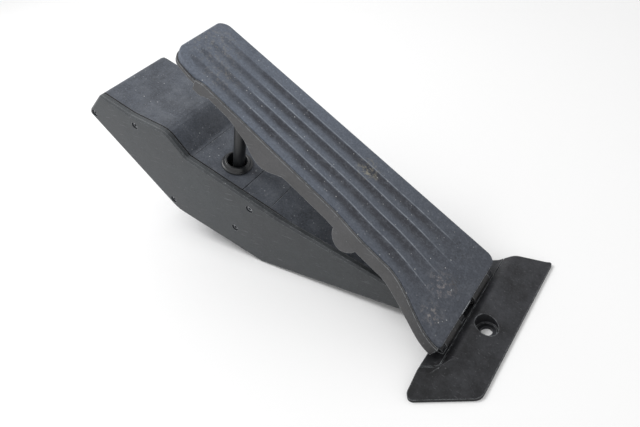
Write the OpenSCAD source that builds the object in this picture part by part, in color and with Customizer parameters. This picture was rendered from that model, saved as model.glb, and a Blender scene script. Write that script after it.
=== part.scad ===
// Floor-hinged accelerator pedal with its sensor housing. Millimetres.
// The origin is where the axis of the fixing hole in the foot plate meets the floor.
// +X runs from the housing towards the driver's heel, +Y away from the side cover, +Z up.

/* [Housing] */
// Width of the housing over its side cover
case_w = 61; // [58:1:66]
// Distance of the side cover's outer face from the fixing hole, across the pedal
cover_side = 10; // [9.5:0.1:10.3]
// Distance from the fixing hole back to the rear corner of the housing
case_back = 287; // [283:1:292]
// Height of the rear corner
rear_z = 94; // [90:1:97]
// Distance from the fixing hole back to the crown of the dome
crown_back = 264.5; // [262:0.5:268]
// Height of the crown of the dome
crown_z = 110; // [107:1:114]
// Distance back to the bend in the dome's top
dome_back = 238.5; // [236:0.5:241]
// Height of the bend in the dome's top
dome_z = 99.2; // [98:0.2:101]
// Distance back to the front brow of the dome
brow_back = 208; // [206:0.5:211]
// Height of the front brow of the dome
brow_z = 92.4; // [91:0.2:94]
// Distance back to where the dome meets the deck
deck_back = 196.5; // [195:0.5:199]
// Height of the deck where it meets the dome
deck_z = 75.4; // [74:0.2:77]
// Fall of the rear deck, in degrees
deck_slope = 22.9; // [22:0.1:23.5]
// Distance back to where the rim changes slope
kink_back = 126.7; // [124:0.1:130]
// Fall of the front rim, in degrees
rim_slope = 17.3; // [16:0.1:18]
// Fall of the sunken front deck, in degrees
trough_slope = 25.4; // [24.5:0.1:26]
// Distance back to where the sunken deck flattens out
trough_back = 76; // [73:1:80]
// Distance back to the end of the nose
nose_back = 26; // [25:0.5:28]
// Height of the nose's underside above the floor
nose_rise = 6; // [5.5:0.1:6.5]
// Distance back to the keel that rests on the floor
keel_back = 155; // [151:1:159]
// Distance back to the bend in the underside
bend_back = 228; // [225:1:231]
// Height of the bend in the underside
bend_z = 23.5; // [22:0.5:25]
// Thickness of the housing's walls
wall = 2.5; // [2:0.1:2.8]

/* [Side cover] */
// Depth of the side cover with its rim
cover_t = 4; // [3.6:0.1:4.4]
// Thickness of the side cover's plate
cover_plate = 2.2; // [2:0.1:2.6]
// Bevel round the side cover's outer edge
cover_bevel = 1.3; // [0.8:0.1:1.6]
// Gap between the side cover and the housing
seam = 0.4; // [0.3:0.1:0.6]
// Radius of the recesses for the cover screws
recess_r = 2.6; // [2.4:0.1:3]
// Radius of the cover screws' thread
screw_r = 1.45; // [1.2:0.05:1.6]
// Length of the cover screws
screw_len = 9; // [8:0.5:10]

/* [Deck] */
// Length of the plate that carries the grommet
plate_len = 38; // [36:0.5:40]
// Length of the plain plate in front of it
blank_len = 20; // [18:0.5:22]
// Thickness of both deck plates
plate_t = 1.3; // [1:0.1:1.5]
// Distance back to the centre of the rod hole
hole_back = 171.7; // [171:0.1:172.4]
// Distance of the rod from the fixing hole, across the pedal
rod_y = 9; // [8:0.5:10]
// Inner radius of the grommet
grommet_r = 6.5; // [6.4:0.1:7]
// Outer radius of the grommet
grommet_out = 10; // [9.5:0.1:11]
// Height of the grommet above the deck
grommet_h = 3.8; // [3:0.1:4.2]

/* [Pedal] */
// Slope of the pedal when it is released, in degrees
pedal_slope = 37.4; // [37:0.1:38]
// Distance back to the lower edge of the pad
pad_back = 11.6; // [11.3:0.1:12]
// Height of the pad's lower edge
pad_z = 15.2; // [15:0.1:16]
// Length of the pad
pad_len = 216; // [212:1:220]
// Where the pad's far edge lies across the pedal
pad_far = 42; // [40:0.5:43]
// Where the pad's near edge lies at its upper end
pad_near = 5; // [4:0.5:6]
// How much the pad widens for each millimetre towards the heel
pad_taper = 0.0545; // [0.05:0.001:0.06]
// How far the pad flares out at the heel
pad_flare = 15.5; // [13:0.5:17]
// Thickness of the rubber pad
pad_t = 3.5; // [3:0.1:3.8]
// Number of grooves in the pad
groove_n = 4; // [3:1:4]
// Distance between grooves
groove_pitch = 9.3; // [8.5:0.1:9.6]
// Width of each groove
groove_w = 4.4; // [3.5:0.1:5]
// Depth of each groove
groove_d = 0.9; // [0.5:0.1:1.2]
// Thickness of the pedal's plate below the pad
carrier_t = 2.3; // [2:0.1:2.5]
// Thickness of the pedal's side walls
web_t = 1.5; // [1.3:0.1:1.6]
// How far the frame's near rim stays below the pad's face
rim_low = 0.5; // [0.3:0.1:1]
// Depth of the near side wall between its lobes
web_h = 10.6; // [10:0.1:11.2]
// How far the upper lobe hangs below the side wall
lobe_upper = 8.4; // [7:0.1:8.6]
// How far the lower lobe hangs below the side wall
lobe_lower = 10.4; // [8:0.1:11]

/* [Hinge and foot] */
// Distance back to the hinge pin
hinge_back = 15.5; // [15.3:0.1:15.8]
// Height of the hinge pin
hinge_z = 7; // [6.9:0.05:7.15]
// Radius of the hinge pin
pin_r = 1.5; // [1.2:0.05:1.6]
// Radial running clearance on every pin and axle
run_gap = 0.05; // [0.02:0.01:0.08]
// Distance from the fixing hole to the outer edge of the foot
foot_out = 14; // [13:0.5:16]
// Distance from the fixing hole back to the inner edge of the foot
foot_back = 19.5; // [19:0.1:20.5]
// Height of the foot's ridge
foot_h = 10; // [9.5:0.1:10.4]
// Height of the lip at the foot's outer edge
lip_h = 2; // [1.5:0.1:3]
// Where the near end of the foot lies, at the fixing hole
foot_near = 48; // [46:0.5:52]
// Where the far end of the foot lies, at the fixing hole
foot_far = 57; // [56:0.5:60]
// Slant of the foot's two ends, in degrees
foot_slant = 30; // [27:0.5:32]
// Radius of the recess for the fixing bolt's head
head_r = 6.3; // [6:0.1:7]
// Radius of the hole for the fixing bolt
bolt_r = 3.3; // [3:0.1:3.6]
// Height of the metal sleeve at the bottom of the fixing hole
sleeve_h = 2.2; // [1.8:0.1:2.6]

/* [Mechanism] */
// Distance back to the inner lever's axle
axle_back = 101; // [100:0.5:102]
// Height of the inner lever's axle
axle_z = 20; // [19:0.5:21]
// Radius of the inner lever's axle
axle_r = 3; // [2.5:0.1:3.2]
// Radius of the inner lever's hub
hub_r = 7.5; // [7:0.1:8]
// Radius of the push rod
rod_r = 3.9; // [3.5:0.1:4]
// Lean of the push rod towards the heel, in degrees
rod_lean = 22; // [21.5:0.1:22.5]
// Distance of the released rod from the middle of its hole, towards the heel
rod_shift = 1.5; // [1.2:0.1:1.8]
// Length of the push rod below the deck, to its lower ball
rod_below = 11.5; // [11.2:0.1:12]
// Length of the push rod above the deck, to its upper ball
rod_above = 50.3; // [49.8:0.1:50.6]
// Radius of the upper ball
ball_r = 4; // [3.6:0.1:4.1]
// Radius of the lower ball
ball_low_r = 3.6; // [3.2:0.1:3.8]
// Outer radius of the larger return spring
spring_r = 6.6; // [6:0.1:7]
// Wire diameter of the return springs
wire_d = 1.1; // [0.8:0.1:1.3]
// Number of contacts in the connector
pin_n = 6; // [4:1:6]

/* [Hidden] */

fine = 64;
eps = 0.01;
near_y = -cover_side;
seam_y = near_y + cover_t + seam;
far_y = near_y + case_w;
inner_y = far_y - wall;
rim_t = 4;

// Heights of the sloping surfaces at a place x
function deck_top(x) = deck_z - (x + deck_back) * tan(deck_slope);
kink_z = deck_top(-kink_back);
function rim_z(x) = kink_z - (x + kink_back) * tan(rim_slope);
plate_front = -deck_back + 2 + plate_len;
blank_front = plate_front + blank_len;
function trough_z(x) = deck_top(blank_front) - (x - blank_front) * tan(trough_slope);
function under_z(x) = x > -keel_back
    ? nose_rise * (x + keel_back) / (keel_back - nose_back)
    : bend_z * (-keel_back - x) / (bend_back - keel_back);

// Plane geometry
function unit(v) = v / norm(v);
function left(v) = [-v[1], v[0]];
function corner(a, b, c, r) = r <= 0 ? [b] :
    let (u = unit(a - b), v = unit(c - b), half = acos(u * v) / 2,
        t = min(r / tan(half), 0.45 * norm(a - b), 0.45 * norm(c - b)), q = t * tan(half),
        o = b + unit(u + v) * q / sin(half), p = b + u * t - o, e = b + v * t - o,
        from = atan2(p[1], p[0]), turn = (atan2(e[1], e[0]) - from + 540) % 360 - 180,
        n = max(2, ceil(abs(turn) / 15)))
    [for (k = [0:n]) o + q * [cos(from + turn * k / n), sin(from + turn * k / n)]];
function rounded(p) = [for (i = [0:len(p) - 1])
    let (a = p[(i + len(p) - 1) % len(p)], b = p[i], c = p[(i + 1) % len(p)])
    each corner([a[0], a[1]], [b[0], b[1]], [c[0], c[1]], b[2])];
function inset(p, d) = [for (i = [0:len(p) - 1])
    let (a = p[(i + len(p) - 1) % len(p)], b = p[i], c = p[(i + 1) % len(p)],
        m = left(unit(b - a)), n = left(unit(c - b)))
    b + d * (m + n) / (1 + m * n)];
// The same corners with the outline moved in by d; every rounded corner keeps its points
function shrunk(p, d) = let (n = len(p), q = inset([for (v = p) [v[0], v[1]]], d))
    [for (i = [0:n - 1])
        let (a = p[(i + n - 1) % n], b = p[i], c = p[(i + 1) % n],
            bend = (b[0] - a[0]) * (c[1] - b[1]) - (b[1] - a[1]) * (c[0] - b[0]))
        [q[i][0], q[i][1], b[2] <= 0 ? 0 : bend > 0 ? max(0.3, b[2] - d) : b[2] + d]];
function moved_in(p, d) = rounded(shrunk(p, d));
function smooth(u) = let (t = max(0, min(1, u))) t * t * (3 - 2 * t);
function turned(v, a) = [v[0] * cos(a) - v[1] * sin(a), v[0] * sin(a) + v[1] * cos(a)];

// Outline of the housing and cover seen from the side, anticlockwise, with corner radii
lower_side = [
    [-case_back, rear_z, 3],
    [-bend_back, bend_z, 18],
    [-keel_back, 0, 0],
    [-nose_back, nose_rise, 1]
];
upper_side = [
    [-deck_back, deck_z, 3],
    [-brow_back, brow_z, 13],
    [-dome_back, dome_z, 30],
    [-crown_back, crown_z, 4]
];
rim_shape = concat(lower_side,
    [[-nose_back, rim_z(-nose_back), 2], [-kink_back, kink_z, 30]], upper_side);
trough_end = [-trough_back, trough_z(-trough_back)];
nose_top = rim_z(-nose_back) - 2;
body_shape = concat(lower_side,
    [[-nose_back, nose_top, 1], [trough_end[0], trough_end[1], 12],
    [blank_front, deck_top(blank_front), 0]], upper_side);
screw_places = [[-case_back + 6.4, rear_z - 0.5], [-238, 91.5], [-228.5, 32.2], [-151, 47.5],
    [-171, 25.5]];

// Mechanism places in the side view
hole_at = [-hole_back, deck_top(-hole_back)];
rod_dir = [sin(rod_lean), cos(rod_lean)];
rod_at = hole_at + rod_shift * [cos(deck_slope), -sin(deck_slope)];
ball_low = rod_at - rod_dir * rod_below;
ball_top = rod_at + rod_dir * rod_above;
axle_at = [-axle_back, axle_z];
arm_dir = unit(ball_low - axle_at);
arm_len = norm(ball_low - axle_at);
spring_x = axle_at[0] + arm_dir[0] * 0.52 * arm_len;
spring_low = under_z(spring_x) + wall + 1.5;
spring_top = axle_z + arm_dir[1] * 0.52 * arm_len - 6;
hub_low = rod_y - 6;
hub_high = inner_y - 11;
board_y = inner_y - 6;
board_t = 1.6;
board_x = [axle_at[0] - 55, axle_at[0] + 3];
board_z = [axle_z - 11, axle_z + 7];
board_screw_x = [board_x[0] + 4, axle_at[0] - 16];
friction_y = rod_y + 0.4 * (inner_y - rod_y);
connector_x = (board_screw_x[0] + board_screw_x[1]) / 2;
connector_z = axle_z + 1;

// Pedal places: s runs up the pad from its lower edge, h down from the pad's surface
pedal_h = pad_t + carrier_t;
function edge_y(s) = -pad_near - pad_taper * (190 - s) - 2 * smooth((92 - s) / 30)
    - pad_flare * smooth((47 - s) / 44);
edge_step = 6;
pad_outline = rounded(concat(
    [[0, edge_y(0), 3]],
    [[0, pad_far, 6], [-pad_len, pad_far, 7], [-pad_len, edge_y(pad_len) + 2, 10]],
    [for (s = [200:-edge_step:8]) [-s, edge_y(s), 0]]));
// The rubber lies inside the frame's near rim
function rubber_edge(s) = edge_y(s) + web_t + 0.3;
rubber_outline = rounded(concat(
    [[0, rubber_edge(0), 3]],
    [[0, pad_far, 6], [-pad_len, pad_far, 7], [-pad_len, rubber_edge(pad_len) + 1, 9]],
    [for (s = [200:-edge_step:8]) [-s, rubber_edge(s), 0]]));
function rim_depth(s) = pad_t - (pad_t - rim_low) * smooth((198 - s) / 10);
function lobe(s, at, low, high, power) = let (u = s < at ? (at - s) / low : (s - at) / high)
    u >= 1 ? 0 : pow(cos(90 * u), power);
function web_depth(s) = web_h - 2.6 * smooth((40 - s) / 26)
    - 4.5 * smooth((s - 152) / 18) + 3.8 * smooth((s - 183) / 7)
    + lobe_upper * lobe(s, 138, 16, 16, 1.3) + lobe_lower * lobe(s, 74, 9, 9, 0.6);
web_end = pad_len - 21;
web_steps = [for (s = [1:3:58]) s, for (s = [60:1:88]) s, for (s = [90:3:web_end]) s];
ball_h = (ball_top[0] + pad_back) * -1 * sin(pedal_slope)
    - (ball_top[1] - pad_z) * cos(pedal_slope);
ball_s = (-ball_top[0] - pad_back) * cos(pedal_slope)
    + (ball_top[1] - pad_z) * sin(pedal_slope);

// Foot places
slant = tan(foot_slant);
function near_end(x) = -foot_near + x * slant;
function far_end(x) = foot_far + x * slant;
block_edge = -hinge_back + 4.9;
block_near = near_end(-foot_back) + 27.5;
base_t = 2.3;
nose_floor = 4.6;
lug_r = pin_r + 1.7;
barrel_r = pin_r + 2;
barrel_ends = [[-23, -5], [13, 33]];

module along_y(y0, y1) {
    translate([0, y1, 0]) rotate([90, 0, 0]) linear_extrude(height = y1 - y0) children();
}

module rod_y_axis(at, r, y0, y1) {
    translate([at[0], y0, at[1]]) rotate([-90, 0, 0]) cylinder(r = r, h = y1 - y0, $fn = fine);
}

// Solid through a stack of rings with the same number of points, lowest first
module loft(rings) {
    n = len(rings[0]);
    m = len(rings);
    polyhedron(
        points = [for (ring = rings) each ring],
        faces = concat(
            [[for (i = [0:n - 1]) i]],
            [[for (i = [n - 1:-1:0]) i + n * (m - 1)]],
            [for (k = [0:m - 2], i = [0:n - 1])
                [i + n * k, i + n * (k + 1), (i + 1) % n + n * (k + 1), (i + 1) % n + n * k]]),
        convexity = 8);
}
function ring(p, z) = [for (q = p) [q[0], q[1], z]];

module nearer_than(y) {
    translate([-case_back - 20, y - 10, -20]) cube([case_back + 40, 10, crown_z + 40]);
}

module further_than(y) {
    translate([-case_back - 20, y, -20]) cube([case_back + 40, 10, crown_z + 40]);
}

// Side view outline made solid from y0 to y1, with its edge at y1 rounded by r
module rounded_far(p, y0, y1, r) {
    rotate([90, 0, 0]) loft(concat(
        [for (a = [0:30:90]) ring(moved_in(p, r * (1 - sin(a))), -y1 + r * (1 - cos(a)))],
        [ring(rounded(p), -y0)]));
}

// Things drawn along the pedal: x is minus s, z is minus h
module on_pedal() {
    translate([-pad_back, 0, pad_z]) rotate([0, pedal_slope, 0]) children();
}

module along_rod(at) {
    translate([at[0], rod_y, at[1]]) rotate([0, rod_lean, 0]) children();
}

module on_deck(x, y) {
    translate([x, y, deck_top(x)]) rotate([0, deck_slope, 0]) children();
}

module deck_slab(x0, x1, y0, y1, low, high) {
    run = (x1 - x0) / cos(deck_slope);
    on_deck(x0, 0) translate([0, y0, low]) cube([run, y1 - y0, high - low]);
}

module coil(r, d, z0, z1, turns) {
    sides = 6;
    per_turn = 16;
    steps = turns * per_turn;
    pitch = (z1 - z0 - d) / turns;
    rings = [for (i = [0:steps]) let (a = 360 * i / per_turn, z = z0 + d / 2 + pitch * i / per_turn)
        [for (k = [0:sides - 1]) let (b = 360 * k / sides, q = r - d / 2 + d / 2 * cos(b))
            [q * cos(a), q * sin(a), z + d / 2 * sin(b)]]];
    loft([for (i = [steps:-1:0]) rings[i]]);
}

module housing() {
    color("#4a4d52") difference() {
        union() {
            difference() {
                rounded_far(rim_shape, seam_y - 4, far_y, 3);
                nearer_than(seam_y);
                along_y(seam_y - 1, far_y - rim_t) polygon([
                    [blank_front, deck_top(blank_front)], trough_end,
                    [-nose_back + 5, nose_top - 5 * tan(10)],
                    [-nose_back + 5, kink_z + 30], [blank_front, kink_z + 30]]);
                along_y(seam_y - 1, inner_y) polygon(moved_in(body_shape, wall));
            }
            screw_posts();
            rod_y_axis(axle_at, axle_r + 2.5, hub_high + 3, inner_y + 1);
            translate([spring_x, rod_y, spring_low - 3])
                cylinder(r = spring_r + 1.5, h = 3, $fn = fine);
            translate([spring_x - 4, rod_y - 4, under_z(spring_x) + 1])
                cube([8, 8, spring_low - under_z(spring_x) - 2]);
            for (x = board_screw_x)
                rod_y_axis([x, board_z[1] - 4], 3, board_y + board_t, inner_y + 1);
            friction_guide();
            translate([-nose_back - 18, rod_y - 1, nose_floor]) cube([15, 26, 3.6]);
        }
        for (p = screw_places) rod_y_axis(p, screw_r + run_gap, seam_y - 3, rod_y - 8.5);
        rod_y_axis(axle_at, axle_r + run_gap, hub_high + 1, inner_y + 1);
        for (x = board_screw_x)
            rod_y_axis([x, board_z[1] - 4], 1 + run_gap, board_y, board_y + board_t + 5);
        deck_slab(-deck_back + 2, blank_front, seam_y - 1, far_y - rim_t, -plate_t, 4);
        on_deck(-hole_back, rod_y) translate([0, 0, -8])
            cylinder(r = grommet_r + 1.5, h = 12, $fn = fine);
        rod_y_axis([connector_x, connector_z], 9, inner_y - 1, far_y + 1);
        for (y = [rod_y + 5, rod_y + 19]) translate([-nose_back - 10, y, -1])
            cylinder(r = 1.3 + run_gap, h = nose_floor + 7, $fn = fine);
        translate([-nose_back - 22, rod_y - 2, -2]) cube([30, 28, 2 + nose_floor]);
    }
}

// Posts for the cover screws; the two beside the lever are short and stand on ribs
module screw_posts() {
    post_r = screw_r + 2.2;
    short = rod_y - 8;
    for (i = [0:2]) rod_y_axis(screw_places[i], post_r, seam_y, inner_y + 0.5);
    for (i = [3, 4]) rod_y_axis(screw_places[i], post_r, seam_y, short);
    translate([screw_places[3][0] - 1, seam_y, screw_places[3][1]])
        cube([2, short - seam_y, 6.5]);
    translate([screw_places[4][0] - 1, seam_y, 6.5])
        cube([2, short - seam_y, screw_places[4][1] - 6.5]);
}

// Walls that hold the friction block and its spring
module friction_guide() {
    low = under_z(axle_at[0]) + 0.8;
    difference() {
        translate([axle_at[0] - hub_r - 16.5, friction_y - 6, low]) cube([15.5, 12, axle_z + 5 - low]);
        translate([axle_at[0] - hub_r - 15, friction_y - 4.5, axle_z - 4.4]) cube([15, 9, 8.8]);
    }
}

module side_cover() {
    color("#474b50") difference() {
        union() {
            difference() {
                rotate([90, 0, 0]) loft([
                    ring(rounded(rim_shape), -near_y - cover_t - 4),
                    ring(rounded(rim_shape), -near_y - cover_bevel),
                    ring(moved_in(rim_shape, cover_bevel + 0.6), -near_y + 0.6)]);
                nearer_than(near_y);
                further_than(near_y + cover_t);
                along_y(near_y + cover_plate, near_y + cover_t + 1)
                    polygon(moved_in(rim_shape, 3.4));
            }
            for (p = screw_places) rod_y_axis(p, recess_r + 0.9, near_y + 1.6, near_y + cover_t);
            rod_y_axis(axle_at, axle_r + 2.5, near_y + 1.6, near_y + cover_t);
        }
        for (p = screw_places) {
            rod_y_axis(p, recess_r, near_y - 1, near_y + 1.7);
            rod_y_axis(p, screw_r + 0.15, near_y, near_y + cover_t + 1);
        }
        rod_y_axis(axle_at, axle_r + run_gap, near_y + cover_plate - 0.4, near_y + cover_t + 1);
    }
}

module cover_screws() {
    head_r = recess_r - 0.25;
    color("#8b8d90") for (p = screw_places) difference() {
        union() {
            rod_y_axis(p, head_r, near_y + 0.5, near_y + 1.7);
            rod_y_axis(p, screw_r, near_y + 1, seam_y + min(screw_len, rod_y - 9 - seam_y));
        }
        translate([p[0], near_y - 1, p[1]]) rotate([-90, 0, 0])
            cylinder(r = 1.25, h = 2.3, $fn = 6);
    }
}

module grommet_plate() {
    color("#43464b") difference() {
        deck_slab(-deck_back + 2.2, plate_front - 0.2, seam_y, far_y - rim_t - 0.3, -plate_t, 0);
        on_deck(-hole_back, rod_y) translate([0, 0, -8]) cylinder(r = grommet_r + 1.3, h = 12, $fn = fine);
    }
}

module blank_plate() {
    color("#3f4247")
        deck_slab(plate_front + 0.2, blank_front - 0.2, seam_y, far_y - rim_t - 0.3, -plate_t, 0);
}

module grommet() {
    tube = grommet_r + 1;
    color("#2d3034") on_deck(-hole_back, rod_y) rotate_extrude($fn = 96) polygon([
        [grommet_r, -plate_t - 2], [tube, -plate_t - 2], [tube, 0.05], [grommet_out, 0.05],
        [grommet_out, 1], [grommet_out - 0.7, 1.2], [grommet_r + 1.2, grommet_h],
        [grommet_r + 0.4, grommet_h], [grommet_r, grommet_h - 0.4]]);
}

module axle() {
    color("#a9acb0") rod_y_axis(axle_at, axle_r, near_y + cover_plate, inner_y + 0.5);
}

module axle_bushes() {
    color("#b08d4f") for (y = [hub_low, hub_high - 6]) difference() {
        rod_y_axis(axle_at, axle_r + 1.2, y, y + 6);
        rod_y_axis(axle_at, axle_r + run_gap, y - 1, y + 7);
    }
}

module inner_lever() {
    side = left(arm_dir) * -1;
    low = axle_at + arm_dir * (hub_r - 2);
    tip = ball_low - arm_dir * 4;
    cup_r = ball_low_r + 2.9;
    color("#2c2e31") difference() {
        union() {
            rod_y_axis(axle_at, hub_r, hub_low, hub_high);
            along_y(rod_y - 4, rod_y + 4)
                polygon([low + side * 6, tip + side * 3.5, tip - side * 3.5, low - side * 5]);
            along_rod(ball_low) translate([0, 0, -cup_r + 0.6]) cylinder(r = cup_r, h = cup_r + 1, $fn = fine);
            translate([spring_x, rod_y, spring_top]) cylinder(r = spring_r - wire_d - 2.5, h = 6, $fn = fine);
        }
        rod_y_axis(axle_at, axle_r + 1.2, hub_low - 1, hub_high + 1);
        along_rod(ball_low) {
            sphere(r = ball_low_r + 1, $fn = fine);
            cylinder(r = ball_low_r + 1, h = 20, $fn = fine);
            translate([0, 0, 1.6]) cylinder(r = cup_r + 2, h = 20, $fn = fine);
        }
        translate([spring_x, rod_y, spring_top - 20]) cylinder(r = spring_r + 1, h = 20, $fn = fine);
    }
}

module magnet_ring() {
    color("#5c6066") difference() {
        rod_y_axis(axle_at, hub_r - 0.5, hub_high, hub_high + 2);
        rod_y_axis(axle_at, axle_r + 1.2, hub_high - 1, hub_high + 3);
    }
}

module return_spring_outer() {
    color("#8e9196") translate([spring_x, rod_y, 0])
        coil(spring_r, wire_d, spring_low, spring_top + 0, 5);
}

module return_spring_inner() {
    color("#7f8287") translate([spring_x, rod_y, 0])
        coil(spring_r - wire_d - 1, wire_d * 0.8, spring_low, spring_top, 6);
}

module friction_block() {
    back = axle_at[0] - hub_r - 8;
    color("#c9c4b4") difference() {
        translate([back, friction_y - 4.3, axle_z - 4.3]) cube([8 + hub_r * 0.4, 8.6, 8.6]);
        rod_y_axis(axle_at, hub_r + 0.25, friction_y - 8, friction_y + 8);
        translate([back - 1, friction_y, axle_z]) rotate([0, 90, 0])
            cylinder(r = 2.6, h = 5, $fn = fine);
    }
}

module friction_spring() {
    color("#8e9196") translate([0, friction_y, axle_z]) rotate([0, 90, 0])
        coil(2.4, 0.6, axle_at[0] - hub_r - 15, axle_at[0] - hub_r - 4, 7);
}

module circuit_board() {
    color("#1f5a3a") difference() {
        along_y(board_y, board_y + board_t) polygon([
            [board_x[0], board_z[0]], [board_x[1], board_z[0]],
            [board_x[1], board_z[1]], [board_x[0], board_z[1]]]);
        rod_y_axis(axle_at, axle_r + 2.8, board_y - 1, board_y + board_t + 1);
        for (x = board_screw_x)
            rod_y_axis([x, board_z[1] - 4], 1.2, board_y - 1, board_y + board_t + 1);
        for (p = pin_places()) rod_y_axis(p, 0.45, board_y - 1, board_y + board_t + 1);
    }
}

function pin_places() = [for (i = [0:pin_n - 1])
    [connector_x + (floor(i / 2) - (ceil(pin_n / 2) - 1) / 2) * 3.6, connector_z + (i % 2 - 0.5) * 4]];

module hall_sensors() {
    color("#17181a") for (p = [[-1, 0], [0, -1]])
        translate([axle_at[0] + p[0] * (hub_r + 0.6) - 2, board_y - 1.2,
            axle_z + p[1] * (hub_r + 0.6) - 2]) cube([4, 1.2, 4]);
}

module board_screws() {
    color("#8b8d90") for (x = board_screw_x) {
        rod_y_axis([x, board_z[1] - 4], 2, board_y - 1.4, board_y);
        rod_y_axis([x, board_z[1] - 4], 1, board_y - 0.5, board_y + board_t + 4.5);
    }
}

module connector() {
    at = [connector_x, connector_z];
    color("#232528") difference() {
        union() {
            rod_y_axis(at, 8.9, inner_y, far_y + 10);
            rod_y_axis(at, 10.5, inner_y - 1.6, inner_y);
            translate([connector_x - 2.5, far_y + 2, connector_z + 7]) cube([5, 6, 4]);
        }
        rod_y_axis(at, 7.4, far_y - 1, far_y + 11);
        for (p = pin_places()) rod_y_axis(p, 0.4, inner_y - 3, far_y);
    }
}

module contact_pins() {
    color("#c9a545") for (p = pin_places())
        rod_y_axis(p, 0.4, board_y - 0.8, far_y + 5);
}

module connector_seal() {
    at = [connector_x, connector_z];
    color("#7a3b2c") difference() {
        rod_y_axis(at, 10.2, far_y, far_y + 1.6);
        rod_y_axis(at, 8.9, far_y - 1, far_y + 3);
    }
}

function foot_plan(grow) = [
    [-foot_back - grow, near_end(-foot_back), 3],
    [foot_out, near_end(foot_out), 6],
    [foot_out, far_end(foot_out), 1.2],
    [-foot_back - grow, far_end(-foot_back), 1]
];

module foot_body() {
    ridge_x = -5;
    intersection() {
        linear_extrude(height = foot_h + 2) polygon(rounded(foot_plan(0)));
        along_y(near_end(-foot_back) - 5, far_end(foot_out) + 5) polygon(rounded([
            [-foot_back - 1, 0, 0], [foot_out + 1, 0, 0], [foot_out + 1, lip_h, 0],
            [foot_out - 2.5, lip_h + 0.3, 6], [ridge_x, foot_h, 6],
            [block_edge - 2.5, foot_h - 3.2, 3], [-foot_back - 1, foot_h - 2.6, 0]]));
        near_fall();
    }
}

// Everything below the slope that falls towards the near end
module near_fall() {
    run = 24;
    multmatrix([[1, 0, 0, 0], [slant, 1, 0, -foot_near], [0, 0, 1, 0]])
        rotate([90, 0, 90]) translate([0, 0, -foot_back - 5])
        linear_extrude(height = foot_back + foot_out + 10) polygon([
            [-5, -1], [160, -1], [160, foot_h + 5], [run + 10, foot_h + 5],
            [run, foot_h + 0.2], [0, lip_h], [-5, lip_h]]);
}

module foot_plate() {
    color("#2b2d30") difference() {
        union() {
            foot_body();
            translate([-nose_back - 16, rod_y, 1]) cube([nose_back - foot_back + 18, 24, 3.4]);
        }
        hinge_space(0.4);
        translate([0, 0, sleeve_h]) cylinder(r = head_r, h = foot_h + 5, $fn = fine);
        translate([0, 0, -1]) cylinder(r = bolt_r + 1.9, h = foot_h, $fn = fine);
        for (y = [rod_y + 5, rod_y + 19]) {
            translate([-nose_back - 10, y, -1]) cylinder(r = 1.3 + 0.3, h = 10, $fn = fine);
            translate([-nose_back - 10, y, -1]) cylinder(r = 2.8, h = 3.2, $fn = fine);
        }
    }
}

module hinge_space(gap) {
    multmatrix([[1, 0, 0, 0], [slant, 1, 0, 0], [0, 0, 1, 0]])
        translate([-foot_back - 6, -foot_near + 19 - gap, base_t])
        cube([foot_back + 6 + block_edge + gap, 120, foot_h + 5]);
}

module foot_sleeve() {
    color("#9b9ea2") difference() {
        cylinder(r = bolt_r + 1.9, h = sleeve_h, $fn = fine);
        translate([0, 0, -1]) cylinder(r = bolt_r, h = sleeve_h + 2, $fn = fine);
    }
}

module foot_screws() {
    color("#8b8d90") for (y = [rod_y + 5, rod_y + 19]) translate([-nose_back - 10, y, 0]) {
        translate([0, 0, 1.1]) cylinder(r = 2.5, h = 1.1, $fn = fine);
        translate([0, 0, 1.5]) cylinder(r = 1.3, h = nose_rise + 2.5, $fn = fine);
    }
}

module hinge_block() {
    hinge_at = [-hinge_back, hinge_z];
    color("#303236") difference() {
        union() {
            intersection() {
                hinge_space(0);
                foot_body();
            }
            for (y = [barrel_ends[0][0] - 4.5, barrel_ends[0][1] + 0.3, barrel_ends[1][1] + 0.3]) {
                rod_y_axis(hinge_at, lug_r, y, y + 4.2);
                translate([-hinge_back - lug_r, y, base_t]) cube([2 * lug_r, 4.2, hinge_z - base_t]);
            }
        }
        for (e = barrel_ends)
            translate([-foot_back - 5, e[0] - 0.3, base_t + 0.8])
                cube([foot_back + 5 + block_edge - 1.1, e[1] - e[0] + 0.6, 20]);
        translate([-foot_back - 5, barrel_ends[0][1] + 4.5, base_t + 0.8])
            cube([foot_back + 5 + block_edge - 1.1, barrel_ends[1][0] - barrel_ends[0][1] - 4.8, 20]);
        rod_y_axis(hinge_at, pin_r + run_gap, barrel_ends[0][0] - 3.9, barrel_ends[1][1] + 6);
        translate([-foot_back - 5, barrel_ends[0][0] - 3, foot_h]) cube([foot_back, 70, 10]);
    }
}

module hinge_pin() {
    color("#a9acb0")
        rod_y_axis([-hinge_back, hinge_z], pin_r, barrel_ends[0][0] - 3.8, barrel_ends[1][1] + 4.4);
}

module push_rod() {
    length = rod_above + rod_below;
    color("#1b1c1e") along_rod(ball_low) {
        sphere(r = ball_low_r, $fn = fine);
        cylinder(r = 2.5, h = length, $fn = fine);
        translate([0, 0, 7]) cylinder(r = rod_r, h = length - 15, $fn = fine);
        translate([0, 0, length]) sphere(r = ball_r, $fn = fine);
    }
}

module rod_socket() {
    color("#26282b") on_pedal() translate([-ball_s, rod_y, -ball_h]) difference() {
        translate([0, 0, -3]) cylinder(r = ball_r + 2.3, h = 3 + ball_h - pedal_h, $fn = fine);
        sphere(r = ball_r + 0.15, $fn = fine);
        translate([0, 0, -10]) cylinder(r1 = ball_r + 3, r2 = ball_r - 0.3, h = 10, $fn = fine);
    }
}

// Side wall that follows the near edge of the pad, with two lobes along its lower edge
module near_web() {
    loft([for (i = [len(web_steps) - 1:-1:0]) let (s = web_steps[i]) let (y = edge_y(s))
        [[-s, y, -rim_depth(s)], [-s, y, -web_depth(s)],
        [-s, y + web_t, -web_depth(s)], [-s, y + web_t, -rim_depth(s)]]]);
}

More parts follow.
